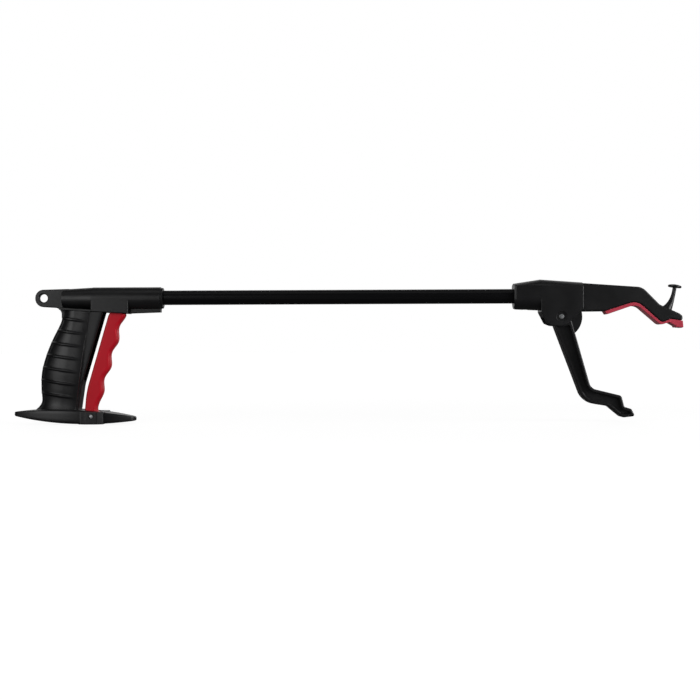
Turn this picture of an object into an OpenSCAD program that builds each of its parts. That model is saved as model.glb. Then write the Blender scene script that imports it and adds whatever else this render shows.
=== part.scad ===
// Reacher grabber, in millimetres. The origin is the centre of the hang hole, X runs along the
// tube towards the jaws, Z is up and Y is across. Shown at rest: trigger released, jaws open.

/* [Tube] */
// Outside diameter of the tube
tube_od = 14.3; // [13.5:0.1:15.5]
// Wall of the tube
tube_wall = 1; // [0.8:0.1:1.4]
// Length of tube that shows between the handle and the head
tube_show = 345; // [200:1:600]
// Depth of the tube in the handle
seat_rear = 30; // [24:1:31]
// Depth of the tube in the head
seat_front = 26; // [20:1:26]

/* [Handle body] */
// Diameter of the hang hole
hang_d = 8; // [5:0.5:9]
// Radius of the round end of the hang tab
tab_r = 8.2; // [7.5:0.1:9]
// Thickness of the hang tab
tab_thick = 6; // [4:0.5:9]
// Rear end of the barrel
barrel_x = 19; // [17:0.5:20]
// Radius of the barrel at its rear end
barrel_r = 9.6; // [9:0.1:10.5]
// Rear end of the box that houses the trigger's top
box_x0 = 48; // [47:0.5:49]
// Front end of that box
box_x1 = 84.7; // [84:0.1:86]
// Half width of the box, and radius of the collar
body_r = 11.4; // [11.2:0.1:12.5]
// How far the collar's centre lies below the tube's
body_drop = 0.9; // [0.5:0.1:1.5]
// How far the box reaches below the tube's centre
box_drop = 15.7; // [15:0.1:16.5]
// Front end of the collar
collar_x = 118; // [117:0.5:122]
// Length of the collar's thinner front lip
lip_len = 2.2; // [1:0.1:4]
// Radius of that lip
lip_r = 10.2; // [9.5:0.1:11]
// Half width of the flat keel under the collar
keel_half = 5; // [3:0.1:6]
// How far the keel stands below the collar
keel_drop = 2.1; // [1:0.1:2.5]
// Half width of the rail between the barrel and the grip
rail_half = 12.5; // [12.2:0.1:13]
// Height of that rail
rail_h = 2.2; // [1.5:0.1:3]

/* [Grip] */
// Height of the tube's centre above the grip's foot
grip_drop = 109; // [105:1:125]
// Place of the grip's own axis on the foot
grip_x = 15.5; // [14:0.5:17]
// Lean of the grip
grip_lean = 8; // [7:0.5:9]
// Wall of the handle shells
wall = 2.4; // [2:0.1:2.6]
// Distance from the grip's axis to the line where the palm part meets the flat sides
palm_line = 17.5; // [16.5:0.1:18]
// Half width of the flat sides beside the trigger
side_half = 10.3; // [10.2:0.1:11]
// Number of thin ridges across the grip
ridges = 7; // [3:1:7]
// Distance between ridges
ridge_pitch = 12.6; // [10:0.05:13]
// Depth of the hollows between ridges
ridge_depth = 1.5; // [0.3:0.1:1.7]

/* [Foot] */
// Length of the foot
foot_len = 120; // [112:1:126]
// Width of the foot
foot_w = 40; // [38:1:44]
// Thickness of the foot at its middle
foot_thick = 13.6; // [13:0.1:15]
// Slope of the foot, its front lower than its back
foot_slope = 2.6; // [2:0.1:3]
// Distance from the grip's axis to the middle of the foot
foot_fwd = 15.25; // [12:0.25:16]
// Radius of the foot's ends, seen from above
foot_tip_r = 8; // [6:0.5:12]
// Radius of the foot's ends, seen from the side
foot_edge_r = 2.2; // [1.5:0.1:2.6]
// Half width over the flat bosses of the trigger pin
boss_half = 21.6; // [21.2:0.1:23]

/* [Trigger] */
// Distance from the hang hole to the trigger pin
trigger_x = 50; // [49.5:0.1:50.5]
// Depth of the trigger pin below the grip's foot
trigger_drop = 6.8; // [6.5:0.1:7.2]
// Lean of the trigger at rest
trigger_lean = 16.3; // [16:0.1:16.6]
// Width of the trigger
trigger_w = 15; // [13:0.1:15.2]
// Distance from the pin to the trigger's straight rear edge
trigger_rear = 13.9; // [12:0.1:14.2]
// Mean distance from the pin to the trigger's waved front edge, to the rear
trigger_front = 0.2; // [0:0.1:2]
// Height of the finger waves
finger_wave = 1.7; // [0.5:0.1:2]
// Distance between finger waves
finger_pitch = 26.5; // [25:0.5:27]
// Radius of the trigger's long edges
trigger_edge = 2.6; // [1:0.1:3]
// Diameter of the trigger pin
trigger_pin_d = 4; // [3:0.1:4.4]
// Outside diameter of the trigger's bush
bush_d = 6; // [5.4:0.1:7]

/* [Pull rod] */
// Diameter of the rod
rod_d = 4; // [3:0.1:4.4]
// Diameter of the two rod pins
rod_pin_d = 3; // [2.5:0.1:3.2]
// Distance from the hang hole to the rod's rear pin
rod_pin_x = 76; // [75.5:0.1:76.5]
// How far the rear rod pin lies below the tube's centre
rod_pin_drop = 1.3; // [1:0.1:1.6]
// Thickness of the tongues that the clevises hold
tongue_t = 6; // [5:0.1:6.4]
// Thickness of each clevis cheek
cheek_t = 2.5; // [2:0.1:2.6]
// Radius of the clevis cheeks
cheek_r = 4; // [3.5:0.1:4.2]
// Diameter of the rod guides
guide_d = 9; // [7:0.1:9.4]

/* [Return spring] */
// Mean radius of the spring's coils
coil_r = 4.4; // [4:0.1:4.6]
// Diameter of the spring's wire
wire_d = 1.1; // [0.8:0.1:1.4]
// Number of coils
coils = 11; // [8:1:14]

/* [Head] */
// Distance from the head's rear end to the jaw pin
pivot_fwd = 45.8; // [45:0.1:47]
// Depth of the jaw pin below the tube's centre
pivot_drop = 20.4; // [20:0.1:21]
// Half width over the ears
ear_half = 12.4; // [12:0.1:13.5]
// Half width between the ears
ear_gap = 8.8; // [8.7:0.1:9.2]
// Radius of the ears round the jaw pin
ear_r = 9.4; // [9:0.1:10.5]
// Height of the head's side edge above the tube's centre
edge_z = 9.4; // [9:0.1:10]
// Height of the head's side edge at its rear end
rear_edge_z = 10; // [9.5:0.1:10.5]
// Height of the ridge of the head's roof
roof_z = 16.4; // [15:0.1:17]
// Height of that ridge at the head's rear end
rear_roof_z = 12.4; // [12:0.1:13]
// Height of that ridge at the front of the box
front_roof_z = 13.4; // [13:0.1:14]
// Diameter of the jaw pin
jaw_pin_d = 5; // [4:0.1:5.4]
// Diameter of the counterbore round the pin's ends
counterbore_d = 9.6; // [9:0.1:11]

/* [Jaws] */
// Width of both jaws
jaw_w = 16.8; // [15:0.1:16.9]
// Radius of the jaws' long edges
jaw_edge = 1.8; // [0.8:0.1:2]
// Thickness of the jaw liner
liner_t = 2.9; // [2:0.1:3.4]
// Number of teeth under the tip
teeth = 3; // [2:1:5]
// Depth of those teeth
tooth_depth = 0.9; // [0.5:0.1:1.2]
// Diameter of the peg hook's head
peg_d = 13.2; // [10:0.1:14]
// Radius of the lower jaw's hub
hub_r = 10; // [9:0.1:10.4]
// Radius of the lower jaw's crank sector
sector_r = 21.5; // [20:0.1:21.6]
// Thickness of the crank sector
sector_t = 9; // [7:0.1:9.6]
// Distance from the jaw pin to the rod's front pin
crank_r = 21; // [20.8:0.1:21.2]
// Angle of the crank at rest
crank_angle = 64; // [63:0.5:65]
// Width of the raised rim round the lower jaw's sides
rim = 2.8; // [2:0.1:4]
// Depth of the lower jaw's sides inside the rim
side_recess = 4; // [0.5:0.1:5]

/* [Fits and fasteners] */
// Radial clearance of a pin that turns in a hole
run_fit = 0.06; // [0.03:0.01:0.1]
// Radial clearance of a piece that is held fast
hold_fit = 0.03; // [0.02:0.01:0.05]
// Clearance of the tube in its seats
seat_fit = 0.1; // [0.05:0.05:0.15]
// Gap between pieces that slide past each other
slide_gap = 0.3; // [0.3:0.05:0.5]
// Diameter of the handle screws
screw_d = 3; // [2.5:0.1:3.4]
// Diameter of their heads
screw_head_d = 5.6; // [5:0.1:6]
// Length of the screws under the head
screw_len = 15; // [12:0.5:16]
// Distance from the parting face to the screw heads' seats
screw_seat = 7; // [5:0.1:7.4]

/* [Hidden] */
$fn = 64;
head_x = collar_x + tube_show;
tube_x0 = collar_x - seat_rear;
tube_x1 = head_x + seat_front;
pivot = [head_x + pivot_fwd, -pivot_drop];
trigger_pin_at = [trigger_x, -grip_drop - trigger_drop];
foot_at = [grip_x + foot_fwd, -grip_drop - 7.3];
rod_rear = [rod_pin_x, -rod_pin_drop];
rod_front = pivot + crank_r * [cos(crank_angle), sin(crank_angle)];
pin_reach = tongue_t / 2 + slide_gap + cheek_t;
chamber_half = trigger_w / 2 + 0.6;
spring_x0 = barrel_x + 3.3;
pad_x = rod_rear[0] - 7.3;
slot_wide = rod_pin_d / 2 + slide_gap + 0.15;
slot_in = crank_r - 1.3;
slot_out = crank_r + 0.65;
lug_r = slot_wide + 2;
// World places of the handle screws
screw_at = [grip_point(2.5, grip_drop - 23), grip_point(-4, grip_drop / 2 - 4.5), grip_point(0, 14),
            foot_point(foot_len / 2 - 17, 0.3), foot_point(17 - foot_len / 2, 0.3)];
// Top of the trigger's red part above its pin, along its lean
trigger_top = grip_drop + trigger_drop - 8.8;
// Distance along the grip's axis, and the grip's back behind that axis
grip_back = [[-5.4, -24.9], [0, -20.4], [5.5, -18.65], [17, -21], [33, -22.7], [49, -20.9], [66, -16.7],
             [82, -11.3], [88, -10.2], [99, -10.6]];
// Distance along the grip's axis, and half the width of the palm part
grip_half = [[-5.4, 15.8], [5, 13.2], [20, 14.2], [38, 15], [60, 13.8], [80, 12.2], [99, 11.8]];
// Distance along the grip's axis, and the front edge of its flat sides
grip_front = [[-5.4, 19.6], [27, 19.8], [30, 20.2], [99, 30.6]];

// Helpers: curves and outlines

function unit(v) = v / norm(v);
function left(v) = [-v[1], v[0]];
function ease(t) = let (u = min(1, max(0, t))) u * u * (3 - 2 * u);
function flat2(p) = [p[0], p[1]];
function moved(path, at) = [for (p = path) [p[0] + at[0], p[1] + at[1], p[2]]];
function turned(p, a) = [p[0] * cos(a) + p[1] * sin(a), p[1] * cos(a) - p[0] * sin(a)];
function grip_point(a, t) = [grip_x, -grip_drop] + turned([a, t], grip_lean);
function foot_point(a, t) = foot_at + turned([a, t], foot_slope);
function trigger_point(n, s) = trigger_pin_at + turned([n, s], trigger_lean);

// Straight lines through the given [place, value] pairs
function ramp(keys, t) = lookup(t, keys);

// A smooth curve through the given [place, value] pairs
function curve(keys, t) =
    let (
        last = len(keys) - 2,
        found = [for (k = [0 : last]) if (keys[k][0] <= t) k],
        i = min(last, max(concat([0], found))),
        a = keys[i],
        b = keys[i + 1],
        h = b[0] - a[0],
        u = min(1, max(0, (t - a[0]) / h)),
        chord = (b[1] - a[1]) / h,
        before = i == 0 ? chord : (b[1] - keys[i - 1][1]) / (b[0] - keys[i - 1][0]),
        after = i == last ? chord : (keys[i + 2][1] - a[1]) / (keys[i + 2][0] - a[0])
    )
    a[1] * (1 + 2 * u) * pow(1 - u, 2) + b[1] * u * u * (3 - 2 * u)
        + h * before * u * pow(1 - u, 2) - h * after * u * u * (1 - u);

// Anticlockwise corners [x, z, radius] as points with round corners, all sides moved in by inset
function round_corner(p0, p1, p2, inset, steps) =
    let (
        u = unit(flat2(p1) - flat2(p0)),
        v = unit(flat2(p2) - flat2(p1)),
        turn = cross(u, v),
        side = turn >= 0 ? 1 : -1,
        bend = acos(min(1, max(-1, u * v))),
        at = flat2(p1) + inset * (left(u) + left(v)) / (1 + u * v),
        r = p1[2] == 0 ? 0 : max(0.3, p1[2] - side * inset),
        mid = at - u * r * tan(bend / 2) + left(u) * r * side
    )
    p1[2] == 0 ? [at] : [for (k = [0 : steps])
        let (a = side * bend * k / steps)
            mid - side * r * (left(u) * cos(a) - u * sin(a))];
function rounded(path, inset = 0, steps = 6) =
    let (n = len(path))
        [for (i = [0 : n - 1]) each
            round_corner(path[(i + n - 1) % n], path[i], path[(i + 1) % n], inset, steps)];

// Triangles that fill an anticlockwise outline, cut off one corner at a time
function holds(a, b, c, p) =
    cross(b - a, p - a) > -1e-9 && cross(c - b, p - b) > -1e-9 && cross(a - c, p - c) > -1e-9;
function is_ear(pts, ids, k) =
    let (n = len(ids), i = ids[(k + n - 1) % n], j = ids[k % n], l = ids[(k + 1) % n])
        cross(pts[j] - pts[i], pts[l] - pts[j]) > 1e-9
        && len([for (q = ids)
            if (q != i && q != j && q != l && holds(pts[i], pts[j], pts[l], pts[q])) q]) == 0;
function first_ear(pts, ids, k) = is_ear(pts, ids, k) || k > len(ids) ? k : first_ear(pts, ids, k + 1);
function fill(pts, ids, done = []) =
    let (n = len(ids))
        n == 3 ? concat(done, [ids])
        : let (k = first_ear(pts, ids, 1))
            fill(pts, [for (q = [1 : n - 1]) ids[(k + q) % n]],
                 concat(done, [[ids[(k + n - 1) % n], ids[k % n], ids[(k + 1) % n]]]));
function filled(pts) = fill(pts, [for (i = [0 : len(pts) - 1]) i]);

// A solid through rings of points, each anticlockwise as seen along the way from first to last
module skin(rings, cap = []) {
    n = len(rings[0]);
    m = len(rings);
    points = [for (r = rings) each r];
    sides = [for (j = [0 : m - 2], i = [0 : n - 1])
        let (a = j * n + i, b = j * n + (i + 1) % n)
            each [[a, b, b + n], [a, b + n, a + n]]];
    ends = len(cap) > 0 ? cap : [for (i = [1 : n - 2]) [0, i, i + 1]];
    first = [for (t = ends) [t[2], t[1], t[0]]];
    final = [for (t = ends) [t[0] + (m - 1) * n, t[1] + (m - 1) * n, t[2] + (m - 1) * n]];
    polyhedron(points, concat(first, sides, final), convexity = 8);
}

// A plate with round edges, its outline in XZ
module pillow(path, width, edge, steps = 6, edge_steps = 3) {
    half = [for (k = [0 : edge_steps])
        let (a = 90 * k / edge_steps) [edge * (1 - sin(a)), width / 2 - edge * (1 - cos(a))]];
    levels = concat([for (h = half) [h[0], -h[1]]], [for (k = [edge_steps : -1 : 0]) half[k]]);
    skin([for (l = levels) [for (p = rounded(path, l[0], steps)) [p[0], l[1], p[1]]]],
         filled(rounded(path, edge, steps)));
}

// An XZ outline as a plate between two places across
module plate(y0, y1) translate([0, y1, 0]) rotate([90, 0, 0]) linear_extrude(y1 - y0) children();

// Round bars across and along the tube
module bar_y(at, r, y0, y1) translate([at[0], y1, at[1]]) rotate([90, 0, 0]) cylinder(h = y1 - y0, r = r);
module bar_x(x0, x1, z, r0, r1) translate([x0, 0, z]) rotate([0, 90, 0])
    cylinder(h = x1 - x0, r1 = r0, r2 = r1);
module box(x, y, z) translate([x[0], y[0], z[0]]) cube([x[1] - x[0], y[1] - y[0], z[1] - z[0]]);

// Places given along and across the lean of the grip, the foot or the trigger
module in_grip() translate([grip_x, 0, -grip_drop]) rotate([0, grip_lean, 0]) children();
module in_foot() translate([foot_at[0], 0, foot_at[1]]) rotate([0, foot_slope, 0]) children();
module in_trigger() translate([trigger_pin_at[0], 0, trigger_pin_at[1]])
    rotate([0, trigger_lean, 0]) children();

// Points of an oval of four arcs that meet smoothly
function oval(length, width, tip) =
    let (
        m = length / 2 - tip,
        h = width / 2,
        big = (m * m + h * h - tip * tip) / (2 * (h - tip)),
        bend = atan2(m, big - h)
    )
    [for (q = [[1, 1], [-1, -1]]) each concat(
        [for (k = [-5 : 5])
            let (a = (90 - bend) * k / 5) [q[0] * (m + tip * cos(a)), q[1] * tip * sin(a)]],
        [for (k = [1 : 15])
            let (a = 90 - bend + 2 * bend * k / 16)
                [q[0] * big * cos(a), q[1] * (big * sin(a) - big + h)]])];

// Handle: outer forms

// Depth of the hollows at a place along the grip: none on a ridge
function ridge_at(i) = grip_drop - 20.1 - i * ridge_pitch;
function hollow(t) = min([for (i = [0 : ridges - 1]) ease((abs(t - ridge_at(i)) - 0.4) / 1.3)]);
// Share of that depth round the grip, none on its spine and none at the palm line
function hollow_share(u) = ease(u / 0.16) * (1 - ease((u - 0.4) / 0.55));
function grip_ring(t) =
    let (
        back = curve(grip_back, t),
        half = curve(grip_half, t),
        mid = 4,
        edge = max(half - 1.4, side_half + 0.6),
        front = ramp(grip_front, t),
        turns = [90, 70, 54, 40, 28, 18, 9, 0]
    )
    concat(
        [[front, -side_half, t], [palm_line + 0.5, -side_half, t], [palm_line, -edge, t]],
        [for (a = turns)
            let (d = ridge_depth * hollow(t) * hollow_share(a / 120))
                [mid - (mid - back - d) * cos(a), -(half - d) * sin(a), t]],
        [[front, 0, t]]);
// The last ring slopes as the underside of the barrel does
function end_level(a) = grip_drop - 9.7 + 0.0708 * a;
function rail_point(a, up) = grip_point(a, end_level(a) + up);
function grip_end() = [for (p = grip_ring(grip_drop - 10)) [p[0], p[1], end_level(p[0])]];
function grip_levels() = concat(
    [-5.4, -3.4, -1.2, 1.4, 3.6, 6, 10],
    [for (i = [ridges - 1 : -1 : 0]) each
        [ridge_at(i) - 1.7, ridge_at(i) - 0.4, ridge_at(i) + 0.4, ridge_at(i) + 1.7, ridge_at(i) + 6.2]],
    [grip_drop - 13.4]);

// Side outline of the hang tab, with the hollow corner under it
tab_corner = 6.5;
neck = grip_point(-10.2, 89);
module tab_outline() {
    difference() {
        union() {
            circle(r = tab_r);
            polygon([[0, -tab_r], [neck[0] - tab_corner, -tab_r - 1.6], [neck[0], neck[1]],
                     [barrel_x + 6, neck[1]], [barrel_x + 6, barrel_r - 0.5], [0, tab_r]]);
            polygon([[neck[0] - tab_corner, -tab_r - 1.6], [neck[0], -tab_r - 1.6], neck]);
        }
        translate([neck[0] - tab_corner, -tab_r - 1.6 - tab_corner]) circle(r = tab_corner);
        circle(r = hang_d / 2);
    }
}

// The half of a form on the right of the parting face
module right_half() intersection() {
    children();
    box([-100, 200], [-60, 0], [-200, 60]);
}

module foot_solid() {
    intersection() {
        in_foot() plate(-foot_w, foot_w) polygon(oval(foot_len, foot_thick, foot_edge_r));
        translate([foot_at[0], 0, foot_at[1] - 40]) linear_extrude(80)
            polygon(oval(foot_len, foot_w, foot_tip_r));
    }
    // Flat bosses at the ends of the trigger pin
    translate([0, 0, foot_at[1] - foot_thick / 2 - 0.5]) linear_extrude(foot_thick - 1.4)
        polygon([[trigger_x - 12.8, -foot_w / 2 + 1.5], [trigger_x - 5.6, -boss_half],
                 [trigger_x + 5.6, -boss_half], [trigger_x + 11.4, -foot_w / 2 + 1.5],
                 [trigger_x + 11.4, foot_w / 2 - 1.5], [trigger_x + 5.6, boss_half],
                 [trigger_x - 5.6, boss_half], [trigger_x - 12.8, foot_w / 2 - 1.5]]);
}

module barrel_solid() {
    bar_x(barrel_x, box_x0 + 1.5, -body_drop, barrel_r, body_r - 0.1);
    // Collar with its thinner lip and its keel, and the box
    bar_x(box_x0, collar_x - lip_len, -body_drop, body_r, body_r);
    bar_x(collar_x - lip_len - 1, collar_x, -body_drop / 2, lip_r, lip_r);
    keel_x = collar_x - lip_len - 0.3;
    keel_z = -body_drop - body_r;
    plate(-keel_half, keel_half) polygon([[box_x1 - 1, 0.3 - box_drop], [keel_x, keel_z - keel_drop],
                                          [keel_x, keel_z + 2.5], [box_x1 - 1, keel_z + 2.5]]);
    plate(-body_r, body_r) polygon([[box_x0, 2 - box_drop], [box_x1, -box_drop], [box_x1, -body_drop],
                                    [box_x0, -body_drop]]);
    // Rail, proud of the grip's top end
    plate(-rail_half, rail_half) polygon([rail_point(-11.8, 0.3 - rail_h), rail_point(19.1, 0.3 - rail_h),
                                          rail_point(19.1, 0.3), rail_point(-11.8, 0.3)]);
}

// Handle: hollows

// Side outline of the hollow inside the grip, along and across its axis
core_levels = [7, 20, 34, 48, 62, 76, 89];
function core_path(behind) = concat([[palm_line - 2, 7]], [[palm_line - 2, 89]],
    [for (k = [6 : -1 : 0]) [curve(grip_back, core_levels[k]) + behind, core_levels[k]]]);

module handle_hollows() {
    // Room behind the trigger, and the trough that it swings into
    in_grip() box([palm_line + 1, 60], [-chamber_half, chamber_half], [31, 97]);
    box([box_x0 + wall - 2 * slide_gap, box_x1 - wall], [-chamber_half - 0.3, chamber_half + 0.3],
        [-box_drop - 4, 4.4]);
    box([box_x0 - 0.5, box_x1 + 0.8], [-pin_reach - 0.8, pin_reach + 0.8], [-8, cheek_r + 1.8]);
    bar_x(box_x0 - 0.5, pad_x + 3.2, 1.9, coil_r + wire_d / 2 + 0.75, coil_r + wire_d / 2 + 0.75);
    box([trigger_x - 11.5, trigger_x + 8], [-chamber_half, chamber_half],
        [trigger_pin_at[1] - 5.9, trigger_pin_at[1] + 12]);
    in_grip() plate(-side_half + wall - 0.2, 1) polygon(core_path(wall + ridge_depth + 5.2));
    in_grip() plate(-side_half + wall + 2.6, 1) polygon(core_path(wall + ridge_depth + 1.8));
    // Pocket of the spring, way of the rod and seat of the tube
    bar_x(spring_x0 - 0.3, box_x0, 0, coil_r + wire_d / 2 + 0.8, coil_r + wire_d / 2 + 0.8);
    bar_x(box_x1, tube_x0 + 1, 0, tube_od / 2 - tube_wall, tube_od / 2 - tube_wall);
    bar_x(tube_x0, collar_x + 1, 0, tube_od / 2 + seat_fit, tube_od / 2 + seat_fit);
    bar_y(trigger_pin_at, trigger_pin_d / 2 + hold_fit, -40, 40);
}

// The right half, before the screw holes
module half_shell() {
    difference() {
        union() {
            in_grip() skin(concat([for (t = grip_levels()) grip_ring(t)], [grip_end()]),
                filled([for (p = grip_ring(50)) [p[0], -p[1]]]));
            right_half() barrel_solid();
            right_half() foot_solid();
            plate(-tab_thick / 2, 0) tab_outline();
        }
        handle_hollows();
    }
    // Peg that holds the tube
    bar_y([tube_x0 + seat_rear / 2, 0], 2, -tube_od / 2 - 1, -tube_od / 2 + tube_wall);
}

module right_handle_shell() color("#1b1b1d") {
    difference() {
        union() {
            half_shell();
            for (i = [0 : 2]) bar_y(screw_at[i], screw_d / 2 + 2.2, -9, 0);
        }
        for (p = screw_at) bar_y(p, screw_d / 2 + hold_fit, screw_seat - screw_len - 0.5, 1);
    }
}

module left_handle_shell() color("#1b1b1d") {
    difference() {
        union() {
            mirror([0, 1, 0]) half_shell();
            for (i = [0 : 2]) bar_y(screw_at[i], screw_head_d / 2 + 1.8, 0, 9);
        }
        for (p = screw_at) bar_y(p, screw_d / 2 + 0.1, -1, screw_seat + 1);
        for (p = screw_at) bar_y(p, screw_head_d / 2 + 0.2, screw_seat, 40);
    }
}

module handle_screws() color("#9a9c9e") for (p = screw_at) {
    bar_y(p, screw_d / 2, screw_seat - screw_len, screw_seat + 0.1);
    difference() {
        bar_y(p, screw_head_d / 2, screw_seat, screw_seat + 2);
        translate([p[0] - 0.5, screw_seat + 1, p[1] - 1.7]) cube([1, 2, 3.4]);
        translate([p[0] - 1.7, screw_seat + 1, p[1] - 0.5]) cube([3.4, 2, 1]);
    }
}

module trigger_pin() color("#c9cbcc")
    bar_y(trigger_pin_at, trigger_pin_d / 2, 1 - boss_half, boss_half - 1);

// Trigger

function wave(s) = s < 24 ? finger_wave - trigger_front - (finger_wave + 0.1) * ease((24 - s) / 13)
    : finger_wave * cos(360 * (s - 50.4) / finger_pitch) - trigger_front;
trigger_path = concat(
    [[-9, -4, 4], [4, -4, 3.8], [-trigger_front, 8, 0]],
    [for (s = [11 : 2.5 : trigger_top - 2.4]) [wave(s), s, 0]],
    [[-0.5, trigger_top, 0], [-trigger_rear + 1.9, trigger_top, 0], [-trigger_rear, trigger_top - 9, 0],
     [-trigger_rear, 21, 80]]);

module trigger() color("#b3132a") difference() {
    union() {
        in_trigger() pillow(trigger_path, trigger_w, trigger_edge);
        bar_y(trigger_pin_at, bush_d / 2 + 2, -trigger_w / 2, trigger_w / 2);
        // Tongue that the rod's rear clevis holds
        plate(-tongue_t / 2, tongue_t / 2) polygon([trigger_point(-trigger_rear + 1.5, trigger_top - 7),
            trigger_point(-2.5, trigger_top - 7), rod_rear + [cheek_r, -2], rod_rear + [-cheek_r, 1]]);
        bar_y(rod_rear, cheek_r, -tongue_t / 2, tongue_t / 2);
        // Pad and spigot of the return spring
        box([pad_x + 1, rod_rear[0] - 2], [-tongue_t / 2, tongue_t / 2], [-3.8, 2.6]);
        bar_x(pad_x, pad_x + 2.4, 0, coil_r + wire_d / 2 + 0.4, coil_r + wire_d / 2 + 0.4);
        bar_x(pad_x - 3, pad_x + 0.5, 0, coil_r - wire_d / 2 - 0.7, coil_r - wire_d / 2 - 0.5);
    }
    bar_y(rod_rear, rod_pin_d / 2 + run_fit, -10, 10);
    bar_y(trigger_pin_at, bush_d / 2 + hold_fit, -20, 20);
}

module trigger_bush() color("#b9a36a") difference() {
    bar_y(trigger_pin_at, bush_d / 2, -trigger_w / 2, trigger_w / 2);
    bar_y(trigger_pin_at, trigger_pin_d / 2 + run_fit, -20, 20);
}

// Return spring: one wire, closer at its two ends
coil_steps = coils * 8;
spring_span = pad_x - spring_x0 - wire_d - 0.1;
function coil_x(u) = spring_x0 + wire_d / 2 + spring_span * (u - 0.1 * sin(360 * u) * 57.3 / 360);
function coil_at(k) =
    let (u = k / coil_steps, a = 360 * coils * u) [coil_x(u), coil_r * cos(a), coil_r * sin(a)];
function coil_ring(k) =
    let (
        way = unit(coil_at(min(coil_steps, k + 1)) - coil_at(max(0, k - 1))),
        a = 360 * coils * k / coil_steps,
        out = [0, cos(a), sin(a)],
        side = cross(out, way)
    )
    [for (i = [0 : 5]) coil_at(k) + wire_d / 2 * (out * cos(60 * i) + side * sin(60 * i))];
coil_gaps = [for (k = [0 : coil_steps - 8]) norm(coil_at(k + 8) - coil_at(k)) - wire_d];
echo(least_gap_between_coils = min(coil_gaps));
module return_spring() color("#b7b9ba") skin([for (k = [0 : coil_steps]) coil_ring(k)]);

module tube() color("#101012") difference() {
    bar_x(tube_x0, tube_x1, 0, tube_od / 2, tube_od / 2);
    bar_x(tube_x0 - 1, tube_x1 + 1, 0, tube_od / 2 - tube_wall, tube_od / 2 - tube_wall);
    bar_y([tube_x0 + seat_rear / 2, 0], 2 + seat_fit, -20, 20);
    translate([head_x + 12, 0, -20]) cylinder(h = 20, r = screw_d / 2 + hold_fit);
}

// Pull rod and its two clevises

module clevis(at, way) translate([at[0], 0, at[1]]) mirror([way < 0 ? 1 : 0, 0, 0])
    difference() {
        union() {
            for (y = [tongue_t / 2 + slide_gap, -pin_reach]) {
                bar_y([0, 0], cheek_r, y, y + cheek_t);
                box([0, 6.8], [y, y + cheek_t], [0.8 - cheek_r, cheek_r - 0.8]);
            }
            box([6.4, 9], [-pin_reach, pin_reach], [0.8 - cheek_r, cheek_r - 0.8]);
            bar_x(8.9, 13.4, 0, cheek_r, cheek_r);
        }
        bar_y([0, 0], rod_pin_d / 2 + hold_fit, -20, 20);
        bar_x(7, 14, 0, rod_d / 2 + hold_fit, rod_d / 2 + hold_fit);
    }
rod_slope = atan2(rod_front[1] - rod_rear[1], rod_front[0] - rod_rear[0]);
rod_length = norm(rod_front - rod_rear);
module on_rod() translate([rod_rear[0], 0, rod_rear[1]]) rotate([0, -rod_slope, 0]) children();

module pull_rod() color("#a9abad") on_rod() bar_x(7.1, rod_length - 7.1, 0, rod_d / 2, rod_d / 2);
module rear_clevis() color("#d8d8d4") on_rod() clevis([0, 0], 1);
module front_clevis() color("#d8d8d4") on_rod() clevis([rod_length, 0], -1);
module rear_rod_pin() color("#c9cbcc") bar_y(rod_rear, rod_pin_d / 2, -pin_reach, pin_reach);
module front_rod_pin() color("#c9cbcc") bar_y(rod_front, rod_pin_d / 2, -pin_reach, pin_reach);
module rod_guides() color("#d8d8d4") on_rod() for (k = [1, 2]) difference() {
    bar_x(rod_length * k / 3 - 3, rod_length * k / 3 + 3, 0, guide_d / 2, guide_d / 2);
    bar_x(0, rod_length, 0, rod_d / 2 + hold_fit, rod_d / 2 + hold_fit);
}

// Head

// Radius of an arch with half its width and its height
function arch(half, high) = (half * half + high * high) / (2 * high);
rear_r = 10.6;
socket_len = 26.3;
arch_x = head_x + socket_len;
arch_rear = arch(rear_r, rear_roof_z - rear_edge_z);
arch_mid = arch(ear_half, roof_z - edge_z);
arch_front = arch(ear_half, front_roof_z - edge_z);
box_len = 41.2;

// A cone under the roof between two arches, its tops and radii given at its two ends
module roof_cone(x0, top0, r0, x1, top1, r1, before, behind) {
    tilt = atan2((top1 - r1) - (top0 - r0), x1 - x0);
    fall = atan2(top1 - top0, x1 - x0);
    grow = tan(fall - tilt);
    start = r0 * cos(tilt) - grow * r0 * sin(tilt);
    translate([x0, 0, top0 - r0]) rotate([0, 90 - tilt, 0]) translate([0, 0, -before])
        cylinder(h = before + behind, r1 = start - grow * before, r2 = start + grow * behind, $fn = 128);
}

// A round socket below, straight sides and an arched roof that rises towards the jaw
module head_socket() intersection() {
    union() {
        translate([head_x, 0, -1.8]) rotate([0, 90, 0]) rotate(180) cylinder(h = 2, r1 = rear_r, r2 = 11.3);
        translate([head_x + 1.9, 0, -1.8]) rotate([0, 90, 0]) rotate(180)
            cylinder(h = socket_len - 1.9, r1 = 11.3, r2 = ear_half);
        translate([0, 0, -1.8]) linear_extrude(30)
            polygon([[head_x, -rear_r], [head_x + 2, -11.3], [arch_x, -ear_half], [arch_x, ear_half],
                     [head_x + 2, 11.3], [head_x, rear_r]]);
    }
    roof_cone(head_x, rear_roof_z, arch_rear, arch_x, roof_z, arch_mid, 16, 45);
}

// The arch that falls towards the jaw's tip and grows flatter
module box_roof()
    roof_cone(arch_x - 0.2, roof_z, arch_mid, arch_x + box_len, front_roof_z, arch_front, 12, 62);

// Upper jaw: corners from the jaw pin, along its underside and back over its top
jaw_under = [[20.6, 5.02, 0], [43.2, 5.2, 3], [74.5, 15.2, 12], [98.8, -6.3, 4], [107.4, -2.8, 2],
             [119.5, -4.5, 0.9]];
jaw_over = [[119.4, 0.2, 1.8], [116.6, 2.6, 3], [97.2, 11.4, 4], [80.1, 28.7, 12], [20.6, 32.9, 0]];
upper_path = moved(concat(jaw_under, jaw_over), pivot);

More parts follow.
